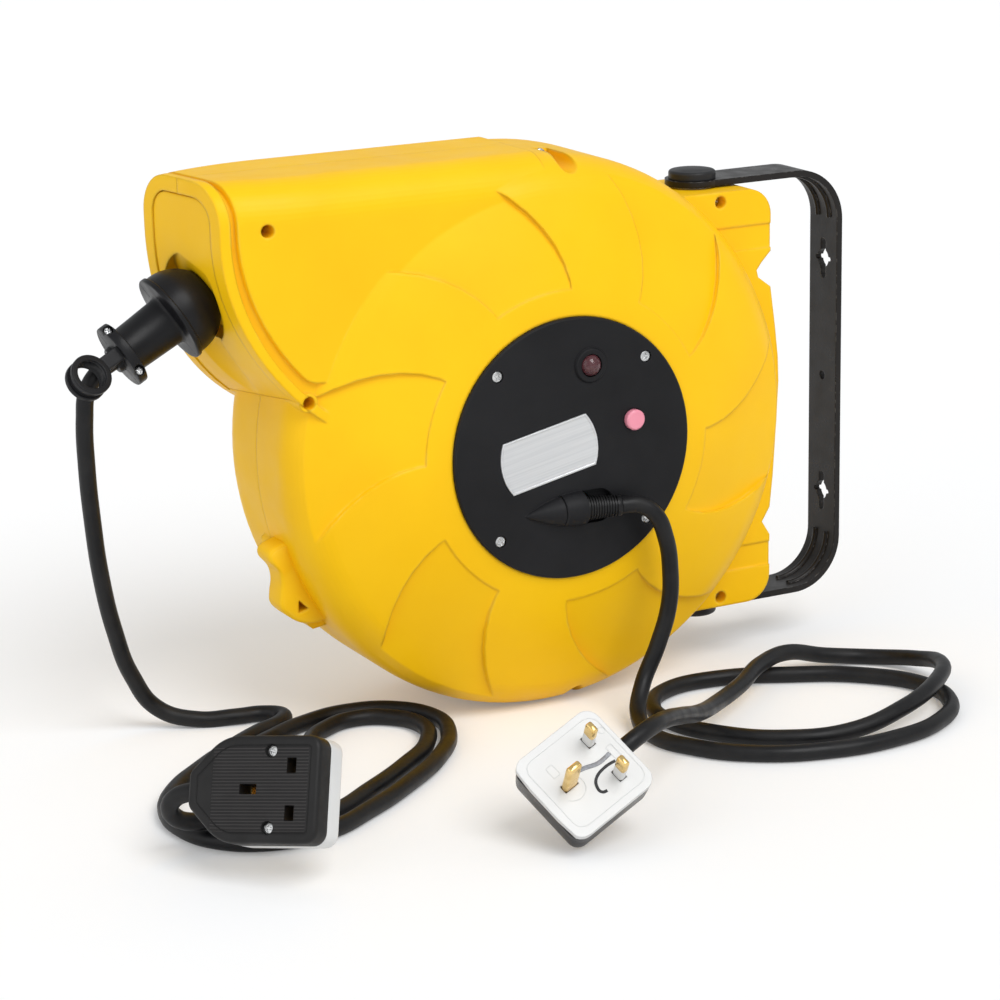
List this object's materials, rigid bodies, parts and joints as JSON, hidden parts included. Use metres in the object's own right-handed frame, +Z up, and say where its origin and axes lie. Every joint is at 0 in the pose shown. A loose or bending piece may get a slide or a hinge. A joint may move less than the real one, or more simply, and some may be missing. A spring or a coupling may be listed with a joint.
{
  "type": "wall-mounted retractable cord reel",
  "caption": "Round yellow spring cord reel on a swivelling wall bracket, with a ball stopper, a trailing socket and a supply cord with plug.",
  "frame": {"origin": "centre of the bracket's middle screw hole, on the face that lies on the wall", "axes": "+X into the wall, -X toward the cord mouth; +Z up, along the swivel axis; -Y toward the front panel with the lamp and button, +Y toward the rear shell"},
  "size_m": [0.4744, 0.318, 0.3024],
  "materials": {
    "yellow_shell": "moulded, satin",
    "panel_black": "fine grain",
    "bracket_paint": "powder coat, satin",
    "zinc_steel": "zinc plated",
    "dark_steel": "plain",
    "cap_black": "moulded",
    "nylon": "moulded",
    "plate_silver": "satin",
    "lens_red": "clear",
    "button_pink": "moulded",
    "cord_rubber": "rubber sheath",
    "drum_plastic": "moulded",
    "bronze": "turned",
    "brass": "bright",
    "carbon": "pressed carbon",
    "stopper_black": "moulded",
    "socket_rubber": "fine ribbed grain",
    "socket_grey": "moulded",
    "plug_black": "moulded",
    "plug_white": "moulded"
  },
  "bodies": {
    "bracket": {"wall_bracket": "bracket_paint", "pivot_pins": "zinc_steel", "pivot_caps": "cap_black", "pivot_washers": "nylon"},
    "housing": {"pivot_bushes": "nylon", "front_shell": "yellow_shell", "rear_shell": "yellow_shell", "mouth_insert": "yellow_shell", "shell_screws": "zinc_steel", "front_panel": "panel_black", "panel_screws": "zinc_steel", "name_plate": "plate_silver", "lamp_lens": "lens_red", "lamp_holder": "panel_black", "button_spring": "dark_steel", "thermal_cutout": "nylon", "bend_relief": "cord_rubber", "supply_cord": "cord_rubber", "plug_body": "plug_black", "plug_face": "plug_white", "plug_pins": "brass", "pin_sleeves": "panel_black", "axle": "zinc_steel", "brush_block": "drum_plastic", "brushes": "carbon", "pawl_pin": "zinc_steel", "roller_pins": "zinc_steel", "inner_lead": "cord_rubber", "stopper_front_half": "stopper_black", "stopper_rear_half": "stopper_black", "stopper_screws": "zinc_steel", "output_cord": "cord_rubber", "socket_front": "socket_rubber", "socket_back": "socket_grey", "socket_contacts": "brass", "socket_screws": "zinc_steel"},
    "drum": {"drum_core": "drum_plastic", "drum_front_flange": "drum_plastic", "drum_rear_flange": "drum_plastic", "cable_winding": "cord_rubber", "drum_bushes": "bronze", "slip_ring_hub": "nylon", "slip_rings": "brass", "ratchet_wheel": "dark_steel", "spring_case": "dark_steel", "spring_cover": "dark_steel", "mainspring": "dark_steel"},
    "reset_button": {"reset_button": "button_pink"},
    "pawl": {"pawl": "dark_steel"},
    "upper_guide": {"guide_roller_upper": "nylon"},
    "lower_guide": {"guide_roller_lower": "nylon"}
  },
  "joints": [
    {"name": "swivel", "type": "hinge", "parent": "bracket", "child": "housing", "pos_m": [-0.0902, 0, 0], "axis": [0, 0, 1], "range_deg": [-90, 75]},
    {"name": "drum_spin", "type": "hinge", "parent": "housing", "child": "drum", "pos_m": [-0.206, 0, 0], "axis": [0, 1, 0], "continuous": true},
    {"name": "reset_press", "type": "slide", "parent": "housing", "child": "reset_button", "axis": [0, 1, 0], "range_m": [0, 0.002], "stiffness_N_per_m": 400},
    {"name": "pawl_tilt", "type": "hinge", "parent": "housing", "child": "pawl", "pos_m": [-0.1678, -0.031, 0.0382], "axis": [0, -1, 0], "range_deg": [0, 15.6]},
    {"name": "upper_guide_spin", "type": "hinge", "parent": "housing", "child": "upper_guide", "pos_m": [-0.366, 0, 0.112], "axis": [0, 1, 0], "continuous": true},
    {"name": "lower_guide_spin", "type": "hinge", "parent": "housing", "child": "lower_guide", "pos_m": [-0.356, 0, 0.08], "axis": [0, 1, 0], "continuous": true}
  ]
}
